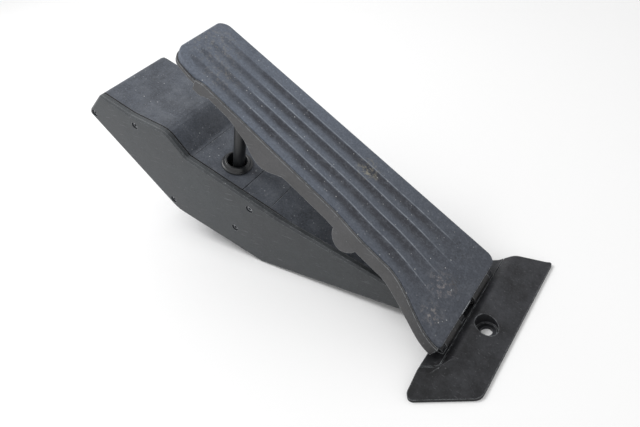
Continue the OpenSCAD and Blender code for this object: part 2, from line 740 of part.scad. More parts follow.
// Straight side wall on the far side, cut back at the heel so that it clears the housing's nose
module far_web() {
    translate([0, pad_far - 0.3, 0]) rotate([90, 0, 0]) linear_extrude(height = web_t) polygon([
        [-8, -pad_t], [-pad_len + 12, -pad_t], [-pad_len + 12, -web_h],
        [-26, -web_h], [-8, -pedal_h - 0.4]]);
}

module pedal_carrier() {
    color("#57544f") difference() {
        union() {
            on_pedal() {
                translate([0, 0, -pedal_h]) linear_extrude(height = carrier_t)
                    polygon(inset(pad_outline, 0.3));
                near_web();
                far_web();
                for (s = pad_len * [0.176, 0.4815, 0.7037])
                    translate([-s, edge_y(s) + 1, -web_h + 1.5])
                        cube([2, pad_far - edge_y(s) - 2, web_h - pad_t - 1.5]);
            }
            for (e = barrel_ends) {
                rod_y_axis([-hinge_back, hinge_z], barrel_r, e[0], e[1]);
                on_pedal() translate([-8, e[0], -pedal_h - 2.4]) cube([8, e[1] - e[0], 3]);
            }
        }
        for (e = barrel_ends)
            rod_y_axis([-hinge_back, hinge_z], pin_r + run_gap, e[0] - 1, e[1] + 1);
        on_pedal() translate([-ball_s, rod_y, -ball_h]) sphere(r = ball_r + 0.15, $fn = fine);
    }
}

module pedal_pad() {
    color("#4b515a") on_pedal() difference() {
        loft([ring(rubber_outline, -pad_t), ring(rubber_outline, -0.8),
            ring(inset(rubber_outline, 0.7), 0)]);
        for (i = [0:groove_n - 1]) let (y = pad_far - 9.5 - groove_pitch * i)
            translate([0, y, -groove_d]) linear_extrude(height = 5) polygon(rounded([
                [-20, -groove_w / 2, 2], [-20, groove_w / 2, 2],
                [-pad_len + 12, groove_w / 2, 2], [-pad_len + 12, -groove_w / 2, 2]]));
    }
}

module stop_buffer() {
    color("#1d1e20") on_deck(-deck_back + 12, far_y - 12)
        cylinder(r = 4, h = 2.5, $fn = fine);
}

housing();
side_cover();
cover_screws();
grommet_plate();
blank_plate();
grommet();
axle();
axle_bushes();
inner_lever();
magnet_ring();
return_spring_outer();
return_spring_inner();
friction_block();
friction_spring();
circuit_board();
hall_sensors();
board_screws();
connector();
contact_pins();
connector_seal();
hinge_block();
hinge_pin();
foot_plate();
foot_sleeve();
foot_screws();
push_rod();
rod_socket();
pedal_carrier();
pedal_pad();
stop_buffer();
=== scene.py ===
import math
import bpy
from mathutils import Matrix, Vector


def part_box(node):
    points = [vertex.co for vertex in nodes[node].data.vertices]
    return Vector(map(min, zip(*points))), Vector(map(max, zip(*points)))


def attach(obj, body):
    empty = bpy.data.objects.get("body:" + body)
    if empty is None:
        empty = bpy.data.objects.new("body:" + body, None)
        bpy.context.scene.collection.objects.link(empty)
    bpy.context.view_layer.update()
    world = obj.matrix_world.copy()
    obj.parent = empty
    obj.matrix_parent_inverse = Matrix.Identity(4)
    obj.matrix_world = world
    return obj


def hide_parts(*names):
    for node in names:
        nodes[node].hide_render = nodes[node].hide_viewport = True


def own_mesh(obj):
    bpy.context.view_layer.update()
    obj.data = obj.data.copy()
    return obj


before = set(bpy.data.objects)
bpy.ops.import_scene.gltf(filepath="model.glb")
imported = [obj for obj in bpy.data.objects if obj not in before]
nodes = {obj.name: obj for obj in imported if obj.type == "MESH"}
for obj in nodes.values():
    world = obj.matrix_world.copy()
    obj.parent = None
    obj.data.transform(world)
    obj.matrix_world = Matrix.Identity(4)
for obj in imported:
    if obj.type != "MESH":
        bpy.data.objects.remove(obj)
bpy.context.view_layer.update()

mm = 0.001
print("frame loaded:", len(nodes), "nodes")


# Small tools

def hexColour(text):
    # an sRGB hex value turned to linear
    channels = [int(text[i:i + 2], 16) / 255 for i in (1, 3, 5)]
    return [c / 12.92 if c <= 0.04045 else ((c + 0.055) / 1.055) ** 2.4 for c in channels] + [1.0]


def feed(tree, node, inputs):
    # a value is a number, a hex colour, a socket, or a node, whose first live output is taken
    for key, value in inputs.items():
        socket = node.inputs[key]
        if isinstance(value, bpy.types.Node):
            value = next(output for output in value.outputs if output.enabled)
        if isinstance(value, bpy.types.NodeSocket):
            tree.links.new(value, socket)
        elif isinstance(value, str) and value.startswith("#"):
            socket.default_value = hexColour(value)
        else:
            socket.default_value = value


def addNode(tree, kind, inputs=None, **settings):
    node = tree.nodes.new(kind)
    for key, value in settings.items():
        setattr(node, key, value)
    feed(tree, node, inputs or {})
    return node


def startMaterial(name):
    material = bpy.data.materials.new(name)
    material.use_nodes = True
    return material, material.node_tree, material.node_tree.nodes["Principled BSDF"]


def newPiece(name, points, faces, material, smoothAngle=30):
    mesh = bpy.data.meshes.new(name)
    mesh.from_pydata([tuple(p) for p in points], [], faces)
    mesh.materials.append(material)
    mesh.polygons.foreach_set("use_smooth", [True] * len(mesh.polygons))
    mesh.set_sharp_from_angle(angle=math.radians(smoothAngle))
    piece = bpy.data.objects.new(name, mesh)
    bpy.context.scene.collection.objects.link(piece)
    return piece


def turnedPiece(name, profile, place, material, steps=96):
    # profile is (radius, height) in mm, up the axis; one that ends where it starts is a ring
    closed = profile[0] == profile[-1]
    outline = profile[:-1] if closed else profile
    points, faces = [], []
    for radius, height in outline:
        for k in range(steps):
            angle = 2 * math.pi * k / steps
            local = Vector((radius * math.cos(angle), radius * math.sin(angle), height)) * mm
            points.append(place @ local)
    rings = len(outline)
    for i in range(rings if closed else rings - 1):
        low, high = i * steps, (i + 1) % rings * steps
        for k in range(steps):
            n = (k + 1) % steps
            faces.append((low + k, low + n, high + n, high + k))
    if not closed:
        faces.append(tuple(reversed(range(steps))))
        faces.append(tuple((rings - 1) * steps + k for k in range(steps)))
    return newPiece(name, points, faces, material)


def smoothStep(u):
    u = max(0.0, min(1.0, u))
    return u * u * (3 - 2 * u)


# Finishes. Sizes are in mm. Real grain is finer than a pixel, so it is drawn at 1 mm or more

mouldedFinishes = {
    # glass-filled nylon from a spark-eroded mould: dull, slightly blue, grey dust on top, painted
    # lighter at its far end and darker towards the front as painted light and shade
    "mouldedNylonHousing": dict(
        colour="#343840", lighter="#4c515a", dust="#8b9098", dustShare=0.26, roughness=0.60,
        grain=1.0, bump=0.3, cloud=26, scratches=0.15, edge=0.5, speckle=0.38, specks=0.9,
        specular=0.45, paintedLight=("X", -0.28, -0.06, 1.1, 0.8)),
    # the cover, painted lighter at its far end and darker towards the front as painted light and
    # shade
    "mouldedNylonCover": dict(
        colour="#303337", lighter="#3f4346", dust="#6d7274", dustShare=0.2, roughness=0.5,
        grain=1.3, bump=0.2, cloud=34, scratches=0.25, edge=0.8, speckle=0.16, specks=0.5,
        specular=0.45, paintedLight=("X", -0.27, -0.05, 1.08, 0.6)),
    # the pedal's frame, the same nylon, gone brownish with road dirt, its rim painted bright as
    # wear and painted highlight, and painted shade darkening it towards its lower end
    "dirtyNylonPedal": dict(
        colour="#434344", lighter="#525254", dust="#807d79", dustShare=0.20, roughness=0.6,
        grain=1.2, bump=0.2, cloud=18, scratches=0.25, edge=1.6, speckle=0.12, specks=0.4,
        specular=0.4, paintedLight=("X", -0.055, -0.018, 1.0, 0.45)),
    # the foot, nearly black, polished a little by shoes, painted darker on its near side and
    # lighter on its far side as painted shade and light
    "wornNylonFoot": dict(
        colour="#161618", lighter="#2a2b2e", dust="#5b5c61", dustShare=0.26, roughness=0.46,
        grain=1.2, bump=0.22, cloud=16, scratches=0.18, edge=0.9, speckle=0.22, specks=0.14,
        specular=0.24, paintedLight=("Y", -0.05, 0.055, 0.55, 1.7)),
    # moulded acetal, smooth and darker
    "smoothAcetal": dict(
        colour="#131416", lighter="#1d1f21", dust="#4b4d50", dustShare=0.05, roughness=0.35,
        grain=1.5, bump=0.04, cloud=12, scratches=0.1, edge=0.1, speckle=0.05, specks=0.1,
        specular=0.5),
    # the same acetal undyed: ivory, a little waxy
    "naturalAcetal": dict(
        colour="#c4bfae", lighter="#d2cdbd", dust="#9a9688", dustShare=0.05, roughness=0.45,
        grain=1.5, bump=0.04, cloud=10, scratches=0.05, edge=0.1, speckle=0.03, specks=0.0,
        specular=0.5),
    # moulded rubber of the sleeve round the rod: nearly black, with a soft shine
    "satinRubber": dict(
        colour="#121315", lighter="#1c1e21", dust="#55585c", dustShare=0.08, roughness=0.32,
        grain=1.0, bump=0.05, cloud=8, scratches=0.0, edge=0.25, speckle=0.08, specks=0.2,
        specular=0.55),
    # moulded silicone, dull brick red
    "redSealRubber": dict(
        colour="#6e3326", lighter="#7d3f30", dust="#8d7a74", dustShare=0.1, roughness=0.6,
        grain=1.0, bump=0.08, cloud=6, scratches=0.0, edge=0.1, speckle=0.05, specks=0.1,
        specular=0.4),
    # solder resist cured on glass board: green, smooth
    "greenBoardLacquer": dict(
        colour="#1c5237", lighter="#246344", dust="#4c6f5d", dustShare=0.05, roughness=0.35,
        grain=1.2, bump=0.05, cloud=6, scratches=0.1, edge=0.1, speckle=0.05, specks=0.0,
        specular=0.5),
}
# black epoxy of the chips and the grey bonded magnet start from the acetal
mouldedFinishes["chipEpoxy"] = dict(mouldedFinishes["smoothAcetal"], roughness=0.5)
mouldedFinishes["bondedMagnet"] = dict(mouldedFinishes["smoothAcetal"], colour="#44474b",
                                       lighter="#53565a", roughness=0.55)

# what all moulded finishes share; a range is where a mask starts and where it is full.
# patch and ragged are noises: size of the largest blotches in mm, detail and roughness
wearAndHighlight = dict(patch=(11, 7.0, 0.78), patchRange=(0.42, 0.72), mottle=(0.3, 0.7),
            ragged=(2.5, 4.0, 0.7), raggedRange=(0.38, 0.62), raggedLeast=0.15,
            facingRange=(-0.2, 0.9), facingLeast=0.25, shine=(-0.08, 0.10), shineRange=(0.2, 0.8),
            grit=((3.4, 0.14, 1.0), (1.6, 0.24, 0.4)), gritShare=0.4, gritColour="#c3c5c7",
            scratchScale=(90.0, 1100.0, 1100.0), scratchTurn=(0.0, 0.35, 0.1),
            scratchRange=(0.68, 0.76), scratchColour="#85888b",
            # the edge colour paints rubbed edges lighter, wear and painted highlight together
            edgeRadius=0.8, edgeRange=(0.985, 0.88), edgeWearAndHighlightColour="#8f9295", bumpHeight=0.5)

# the joint between housing and cover, a dark hairline wherever it comes to the surface
seam = dict(acrossY=-5.6, width=0.55, core=0.6, colour="#060607",
            finishes=("mouldedNylonHousing", "mouldedNylonCover"))


def gritMask(tree, place, size, radius, share, strength):
    # single pale grains, one to a cell at most, some brighter than others
    cells = addNode(tree, "ShaderNodeTexVoronoi", {"Vector": place, "Scale": 1000 / size})
    dot = addNode(tree, "ShaderNodeMapRange", {0: cells, 1: radius, 2: radius * 0.4})
    chance = addNode(tree, "ShaderNodeSeparateColor", {0: cells.outputs["Color"]})
    chosen = addNode(tree, "ShaderNodeMapRange", {0: chance, 1: 1.0 - share, 4: strength})
    return addNode(tree, "ShaderNodeMath", {0: dot, 1: chosen}, operation="MULTIPLY")


def layered(tree, colour, layers):
    # lays tints over a colour, each through the product of its masks
    for (share, *others), tint in layers:
        for other in others:
            share = addNode(tree, "ShaderNodeMath", {0: share, 1: other}, operation="MULTIPLY")
        colour = addNode(tree, "ShaderNodeMix", {0: share, 6: colour, 7: tint}, data_type="RGBA")
    return colour


def mouldedMaterial(name, v):
    material, tree, shader = startMaterial(name)
    place = addNode(tree, "ShaderNodeTexCoord").outputs["Object"]
    noises = dict(cloud=(v["cloud"], 5.0, 0.6), grain=(v["grain"], 3.0, 0.6),
                  patch=wearAndHighlight["patch"], ragged=wearAndHighlight["ragged"])
    noise = {key: addNode(tree, "ShaderNodeTexNoise", {
        "Vector": place, "Scale": 1000 / size, "Detail": detail, "Roughness": roughness})
        for key, (size, detail, roughness) in noises.items()}
    start, full = wearAndHighlight["mottle"]
    blotch = addNode(tree, "ShaderNodeMapRange", {0: noise["cloud"], 1: start, 2: full})
    colour = layered(tree, v["colour"], [((blotch,), v["lighter"])])
    shade = addNode(tree, "ShaderNodeMapRange", {0: noise["grain"], 1: start, 2: full,
                                                 3: 1 - v["speckle"], 4: 1 + v["speckle"]})
    # painted light and shade: each part is made lighter at one end and darker at the other along
    # one axis
    if "paintedLight" in v:
        axis, start, end, first, last = v["paintedLight"]
        where = addNode(tree, "ShaderNodeSeparateXYZ", {0: place}).outputs[axis]
        light = addNode(tree, "ShaderNodeMapRange", {0: where, 1: start, 2: end, 3: first, 4: last})
        shade = addNode(tree, "ShaderNodeMath", {0: shade, 1: light}, operation="MULTIPLY")
    colour = addNode(tree, "ShaderNodeVectorMath", {0: colour, 1: shade}, operation="MULTIPLY")
    # dust lies where the surface looks up, in soft patches and single specks
    normal = addNode(tree, "ShaderNodeNewGeometry").outputs["Normal"]
    up = addNode(tree, "ShaderNodeSeparateXYZ", {0: normal}).outputs["Z"]
    start, full = wearAndHighlight["facingRange"]
    facing = addNode(tree, "ShaderNodeMapRange", {0: up, 1: start, 2: full, 3: wearAndHighlight["facingLeast"]})
    start, full = wearAndHighlight["patchRange"]
    patch = addNode(tree, "ShaderNodeMapRange", {0: noise["patch"], 1: start, 2: full})
    layers = [((patch, facing, v["dustShare"]), v["dust"])]
    for size, radius, strength in wearAndHighlight["grit"]:
        grit = gritMask(tree, place, size, radius, wearAndHighlight["gritShare"], v["specks"] * strength)
        layers.append(((grit, facing), wearAndHighlight["gritColour"]))
    # long fine scratches
    stretched = addNode(tree, "ShaderNodeMapping", {
        "Vector": place, "Scale": wearAndHighlight["scratchScale"], "Rotation": wearAndHighlight["scratchTurn"]})
    lines = addNode(tree, "ShaderNodeTexNoise", {"Vector": stretched, "Scale": 1.0, "Detail": 1.0})
    start, full = wearAndHighlight["scratchRange"]
    scratch = addNode(tree, "ShaderNodeMapRange", {0: lines, 1: start, 2: full, 4: v["scratches"]})
    layers.append(((scratch,), wearAndHighlight["scratchColour"]))
    # edges painted lighter, wear and painted highlight together: where the rounded normal leaves
    # the true one
    rounded = addNode(tree, "ShaderNodeBevel", {"Radius": wearAndHighlight["edgeRadius"] * mm}, samples=6)
    same = addNode(tree, "ShaderNodeVectorMath", {0: rounded, 1: normal}, operation="DOT_PRODUCT")
    start, full = wearAndHighlight["edgeRange"]
    edge = addNode(tree, "ShaderNodeMapRange", {0: same, 1: start, 2: full, 4: v["edge"]})
    start, full = wearAndHighlight["raggedRange"]
    broken = addNode(tree, "ShaderNodeMapRange", {0: noise["ragged"], 1: start, 2: full,
                                                  3: wearAndHighlight["raggedLeast"]})
    layers.append(((edge, broken), wearAndHighlight["edgeWearAndHighlightColour"]))
    if name in seam["finishes"]:
        across = addNode(tree, "ShaderNodeSeparateXYZ", {0: place}).outputs["Y"]
        away = addNode(tree, "ShaderNodeMath", {0: across, 1: seam["acrossY"] * mm},
                       operation="SUBTRACT")
        away = addNode(tree, "ShaderNodeMath", {0: away}, operation="ABSOLUTE")
        width = seam["width"] * mm
        line = addNode(tree, "ShaderNodeMapRange", {0: away, 1: width, 2: width * seam["core"]})
        layers.append(((line,), seam["colour"]))
    colour = layered(tree, colour, layers)
    (start, full), (less, more) = wearAndHighlight["shineRange"], wearAndHighlight["shine"]
    rough = addNode(tree, "ShaderNodeMapRange", {
        0: noise["cloud"], 1: start, 2: full, 3: v["roughness"] + less, 4: v["roughness"] + more})
    bump = addNode(tree, "ShaderNodeBump", {"Height": noise["grain"], "Strength": v["bump"],
                                            "Distance": wearAndHighlight["bumpHeight"] * mm, "Normal": rounded})
    feed(tree, shader, {"Base Color": colour, "Roughness": rough, "Normal": bump,
                        "IOR": 1.5, "Specular IOR Level": v["specular"]})
    return material


metalFinishes = {
    "groundSteelPin": dict(colour="#a3a6aa", roughness=0.3),      # ground bar, bright and even
    "drawnSpringWire": dict(colour="#8f9296", roughness=0.35),    # drawn and oiled
    "zincPlatedScrew": dict(colour="#9a9ca0", roughness=0.33),    # zinc-plated and dulled
    # the sleeve's zinc is painted dark as painted shade inside the bolt hole
    "zincSleeveInPaintedShade": dict(colour="#3c3d40", roughness=0.35),     # rolled from plated sheet
    "sinteredBronze": dict(colour="#a0804a", roughness=0.5),      # pressed powder, matte
    "goldFlashedBrass": dict(colour="#c8a44a", roughness=0.3),    # stamped, thinly gilded
}


# a fine tarnish, in patches of 1.4 mm, moves colour and shine a little
tarnish = dict(size=1 / 0.7, detail=3.0, shade=(0.75, 1.1), shine=(-0.08, 0.12))


def metalMaterial(name, v):
    material, tree, shader = startMaterial(name)
    place = addNode(tree, "ShaderNodeTexCoord").outputs["Object"]
    grain = addNode(tree, "ShaderNodeTexNoise", {
        "Vector": place, "Scale": 1000 / tarnish["size"], "Detail": tarnish["detail"]})
    (dark, light), (less, more) = tarnish["shade"], tarnish["shine"]
    shade = addNode(tree, "ShaderNodeMapRange", {0: grain, 3: dark, 4: light})
    colour = addNode(tree, "ShaderNodeVectorMath", {0: hexColour(v["colour"])[:3], 1: shade},
                     operation="MULTIPLY")
    rough = addNode(tree, "ShaderNodeMapRange", {0: grain, 3: v["roughness"] + less,
                                                 4: v["roughness"] + more})
    feed(tree, shader, {"Base Color": colour, "Roughness": rough, "Metallic": 1.0})
    return material


finishes = {name: mouldedMaterial(name, v) for name, v in mouldedFinishes.items()}
finishes.update({name: metalMaterial(name, v) for name, v in metalFinishes.items()})

nodeFinish = {
    "housing": "mouldedNylonHousing", "grommet_plate": "mouldedNylonHousing",
    "blank_plate": "mouldedNylonHousing", "side_cover": "mouldedNylonCover",
    "pedal_carrier": "dirtyNylonPedal", "foot_plate": "wornNylonFoot",
    "hinge_block": "wornNylonFoot", "inner_lever": "smoothAcetal", "rod_socket": "smoothAcetal",
    "connector": "smoothAcetal", "friction_block": "naturalAcetal", "stop_buffer": "satinRubber",
    "connector_seal": "redSealRubber", "circuit_board": "greenBoardLacquer",
    "hall_sensors": "chipEpoxy", "magnet_ring": "bondedMagnet", "axle": "groundSteelPin",
    "hinge_pin": "groundSteelPin", "foot_sleeve": "zincSleeveInPaintedShade",
    "friction_spring": "drawnSpringWire", "board_screws": "zincPlatedScrew",
    "foot_screws": "zincPlatedScrew", "axle_bushes": "sinteredBronze",
    "contact_pins": "goldFlashedBrass",
}
for node, finish in nodeFinish.items():
    for slot in nodes[node].material_slots:
        slot.material = finishes[finish]
print("finishes on", len(nodeFinish), "solids")


# Shared steps of the node trees that make shapes

def startTree(name, sockets):
    tree = bpy.data.node_groups.new(name, "GeometryNodeTree")
    for label, kind in [("Geometry", "Geometry")] + sockets + [("Finish", "Material")]:
        tree.interface.new_socket(label, in_out="INPUT", socket_type="NodeSocket" + kind)
    tree.interface.new_socket("Geometry", in_out="OUTPUT", socket_type="NodeSocketGeometry")
    return tree, addNode(tree, "NodeGroupInput").outputs


def endTree(tree, shape, finish):
    real = addNode(tree, "GeometryNodeRealizeInstances", {"Geometry": shape})
    done = addNode(tree, "GeometryNodeSetMaterial", {"Geometry": real, "Material": finish})
    addNode(tree, "NodeGroupOutput", {"Geometry": done})
    return tree


def growPiece(piece, tree, values):
    # runs a node tree on a piece once and keeps the plain mesh
    modifier = piece.modifiers.new(tree.name, "NODES")
    modifier.node_group = tree
    sockets = {item.name: item.identifier for item in tree.interface.items_tree
               if item.in_out == "INPUT"}
    for name, value in values.items():
        modifier[sockets[name]] = value
    depsgraph = bpy.context.evaluated_depsgraph_get()
    mesh = bpy.data.meshes.new_from_object(piece.evaluated_get(depsgraph), depsgraph=depsgraph,
                                           preserve_all_data_layers=True)
    piece.modifiers.remove(modifier)
    piece.data = mesh


# The rubber pad: a sheet whose flutes follow a rule, so a node tree presses them in.
# Places on it are s up the pedal from its lower edge, y across, and h down into it, in mm

pad = dict(length=216.0, thickness=3.5, farEdge=42.0, slope=37.4, lowX=-11.6, lowZ=15.2,
           taper=0.0545, taperFrom=190, rimWidth=1.8, topPull=16, topPullFrom=200,
           edgeRound=1.1, edgeSteps=(0.0, 0.12, 0.3, 0.55, 0.9, 1.4),
           cornerNearTop=9.0, cornerFarTop=7.0, cornerFarLow=6.0, cornerNearLow=3.0,
           rowStep=2.0, fineStep=0.5, fineTop=12.0, fineLow=7.0)

# lines up the near side: where each starts, and its flares at the heel as size, start and run
frameLine = dict(base=-5, flares=((2, 92, 30), (15.5, 47, 44)))
fluteLine = dict(base=-2.6, flares=((2, 92, 30), (9, 60, 60)))

flutes = dict(count=5, depth=0.7, fall=(0.22, 0.72), rise=(0.995, 0.95), bowMiddle=0.78, bow=70.0,
              head=(7.5, 8.6), heel=(12.0, 48.0), shallowUntil=(8.0, 70.0), shallow=0.4,
              crestWidth=0.07, columns=(0.0, 0.03, 0.08, 0.16, 0.26, 0.36, 0.44, 0.5, 0.56, 0.64,
                                        0.76, 0.88, 0.955, 0.985))

padFinish = dict(
    # groove is painted shade laid in the flutes, line is a painted highlight along the crests
    rib="#616874", groove="#34363d", heel="#2f3137", dust="#7d828b", line="#a0a6ae",
    grit="#c9cac9", flash="#a9acb0", heelShare=0.75, heelFrom=0.100, heelFull=0.02,
    gritSizes=((2.6, 0.15), (5.3, 0.08)), gritShare=0.45, edgeRadius=0.7,
    bump=0.4, bumpHeight=0.5, refraction=1.52, specular=0.4,
    # noises: size of the largest blotches in mm, detail, roughness
    noises=dict(cloud=(17, 6.0, 0.65), film=(3.2, 8.0, 0.82), fine=(1.1, 3.0, 0.6),
                broken=(4.0, 5.0, 0.7), teeth=(1.6, 2.0, 0.6), torn=(2.4, 6.0, 0.72),
                surface=(1.2, 4.0, 0.6)),
    # masks: what each is read from, where it starts and is full, its least and its most
    masks=dict(mottled=("cloud", 0.3, 0.7, -0.25, 0.25), uneven=("cloud", 0.3, 0.7, -0.012, 0.012),
               film=("film", 0.48, 0.74, 0.0, 0.42), shade=("fine", 0.3, 0.7, 0.78, 1.22),
               broken=("broken", 0.35, 0.6, 0.15, 0.75), teeth=("teeth", 0.44, 0.54, 0.1, 0.85),
               brink=("along", 0.5, 0.2, 0.0, 1.0), wall=("topSide", 0.5, 0.75, 0.0, 1.0),
               torn=("torn", 0.50, 0.64, 0.0, 1.0), rough=("cloud", 0.2, 0.8, 0.55, 0.8)),
    # dried mud and dark rubbed spots: place and reach in metres, strength and colour
    mud=(((-0.1747, 0.024, 0.140), 0.020, 0.6, "#8f8b85"),
         ((-0.083, 0.0285, 0.0700), 0.009, 0.8, "#a39d8c"),
         ((-0.0254, 0.0013, 0.0257), 0.012, 0.5, "#a8a09e"),
         ((-0.0227, -0.0178, 0.0237), 0.009, 0.6, "#a39d99"),
         ((-0.16, 0.008, 0.129), 0.014, 0.5, "#8f8b85"),
         ((-0.0215, 0.008, 0.0227), 0.008, 0.8, "#1c1d20"),
         ((-0.0285, 0.0275, 0.0281), 0.010, 0.8, "#1c1d20")))


def onPedal(s, y, h):
    c, d = math.cos(math.radians(pad["slope"])), math.sin(math.radians(pad["slope"]))
    return Vector((pad["lowX"] - s * c - h * d, y, pad["lowZ"] + s * d - h * c)) * mm


def nearLine(s, line):
    flare = sum(size * smoothStep((start - s) / run) for size, start, run in line["flares"])
    return line["base"] - pad["taper"] * (pad["taperFrom"] - s) - flare


def nearEdge(s):
    # the rubber lies inside the frame's near rim
    pull = max(0.0, (s - pad["topPullFrom"]) / pad["topPull"])
    return nearLine(s, frameLine) + pad["rimWidth"] + pull


def cornerInset(distance, radius):
    if distance >= radius:
        return 0.0
    return radius - math.sqrt(max(0.0, radius ** 2 - (radius - distance) ** 2))


def rubberPadMaterial():
    # moulded rubber: matte, ribs rubbed blue-grey by soles, grooves darkened with painted shade,
    # crests lined with a painted highlight, pale grit all over
    material, tree, shader = startMaterial("mouldedPadRubber")
    place = addNode(tree, "ShaderNodeTexCoord").outputs["Object"]
    source = {name: addNode(tree, "ShaderNodeAttribute", attribute_name=name).outputs["Fac"]
              for name in ("groove", "crest", "along", "topSide")}
    for key, (size, detail, roughness) in padFinish["noises"].items():
        source[key] = addNode(tree, "ShaderNodeTexNoise", {
            "Vector": place, "Scale": 1000 / size, "Detail": detail, "Roughness": roughness})
    mask = {}
    for key, (name, *limits) in padFinish["masks"].items():
        mask[key] = addNode(tree, "ShaderNodeMapRange", dict(enumerate([source[name]] + limits)))
    # painted shade: the flutes are darkened by their depth
    depth = addNode(tree, "ShaderNodeMath", {0: source["groove"], 1: mask["mottled"]},
                    operation="ADD", use_clamp=True)
    # darker towards the heel
    upward = addNode(tree, "ShaderNodeSeparateXYZ", {0: place}).outputs["Z"]
    upward = addNode(tree, "ShaderNodeMath", {0: upward, 1: mask["uneven"]}, operation="ADD")
    heel = addNode(tree, "ShaderNodeMapRange", {
        0: upward, 1: padFinish["heelFrom"], 2: padFinish["heelFull"], 4: padFinish["heelShare"]})
    colour = layered(tree, padFinish["rib"], [
        ((depth,), padFinish["groove"]), ((heel,), padFinish["heel"]),
        ((mask["film"],), padFinish["dust"])])
    colour = addNode(tree, "ShaderNodeVectorMath", {0: colour, 1: mask["shade"]},
                     operation="MULTIPLY")
    # a painted highlight: a pale broken line along each crest and round end
    layers = [((source["crest"], mask["broken"]), padFinish["line"])]
    for size, radius in padFinish["gritSizes"]:
        grit = gritMask(tree, place, size, radius, padFinish["gritShare"], 1.0)
        layers.append(((grit,), padFinish["grit"]))
    # ragged flash left by the mould along the lower edge
    layers.append(((mask["brink"], mask["wall"], mask["teeth"]), padFinish["flash"]))
    for centre, reach, strength, tint in padFinish["mud"]:
        away = addNode(tree, "ShaderNodeVectorMath", {0: place, 1: centre}, operation="DISTANCE")
        near = addNode(tree, "ShaderNodeMapRange", {0: away, 1: reach, 2: reach * 0.2})
        layers.append(((near, mask["torn"], strength), tint))
    rounded = addNode(tree, "ShaderNodeBevel", {"Radius": padFinish["edgeRadius"] * mm}, samples=6)
    bump = addNode(tree, "ShaderNodeBump", {
        "Height": source["surface"], "Strength": padFinish["bump"],
        "Distance": padFinish["bumpHeight"] * mm, "Normal": rounded})
    feed(tree, shader, {"Base Color": layered(tree, colour, layers), "Roughness": mask["rough"],
                        "Normal": bump, "IOR": padFinish["refraction"],
                        "Specular IOR Level": padFinish["specular"]})
    return material


def padSheet(material):
    length, far, rounding = pad["length"], pad["farEdge"], pad["edgeSteps"]
    rowStep, fineStep = pad["rowStep"], pad["fineStep"]
    rows = set(rounding) | {length - r for r in rounding}
    rows |= {rowStep * i for i in range(1, int(length / rowStep))}
    rows |= {length - fineStep * i for i in range(1, int(pad["fineTop"] / fineStep))}
    rows |= {fineStep * i for i in range(1, int(pad["fineLow"] / fineStep))}
    count = flutes["count"]
    across = [(i + f) / count for i in range(count) for f in flutes["columns"]] + [1.0]
    points, along, width, grid = [], [], [], []
    for s in sorted(rows):
        low = nearEdge(s) + max(cornerInset(s, pad["cornerNearLow"]),
                                cornerInset(length - s, pad["cornerNearTop"]))
        high = far - max(cornerInset(s, pad["cornerFarLow"]),
                         cornerInset(length - s, pad["cornerFarTop"]))
        flute = nearLine(s, fluteLine)
        inner = [flute + a * (far - flute) for a in across]
        body = [min(max(y, low + rounding[-1]), high - rounding[-1]) for y in inner]
        row, known = [], {}
        for y in [low + r for r in rounding] + body + [high - r for r in reversed(rounding)]:
            # columns that meet at the rounded edge share one point
            if round(y, 4) not in known:
                known[round(y, 4)] = len(points)
                rim, b = min(y - low, high - y, s, length - s), pad["edgeRound"]
                drop = b - math.sqrt(max(0.0, b ** 2 - (b - rim) ** 2)) if rim < b else 0.0
                points.append(onPedal(s, y, drop))
                along.append(s)
                width.append(max(0.0, min(0.9999, (y - flute) / (far - flute))))
            row.append(known[round(y, 4)])
        grid.append(row)
    faces = []
    for lower, upper in zip(grid, grid[1:]):
        for k in range(len(lower) - 1):
            corners = tuple(dict.fromkeys((lower[k], lower[k + 1], upper[k + 1], upper[k])))
            if len(corners) > 2:
                faces.append(corners)
    # round the sheet, then down to its flat underside
    edge = grid[0] + [row[-1] for row in grid[1:]] + grid[-1][-2::-1] \
        + [row[0] for row in reversed(grid[1:-1])]
    edge = list(dict.fromkeys(edge))
    down = onPedal(0, 0, pad["thickness"] - pad["edgeRound"]) - onPedal(0, 0, 0)
    first, n = len(points), len(edge)
    points += [points[e] + down for e in edge]
    along += [along[e] for e in edge]
    width += [width[e] for e in edge]
    for k in range(n):
        m = (k + 1) % n
        faces.append((edge[m], edge[k], first + k, first + m))
    faces.append(tuple(first + k for k in reversed(range(n))))
    sheet = newPiece("rubberPad", points, faces, material, 50)
    topSide = [1.0] * first + [0.0] * n
    for name, values in (("along", along), ("across", width), ("topSide", topSide)):
        sheet.data.attributes.new(name, "FLOAT", "POINT").data.foreach_set("value", values)
    return sheet


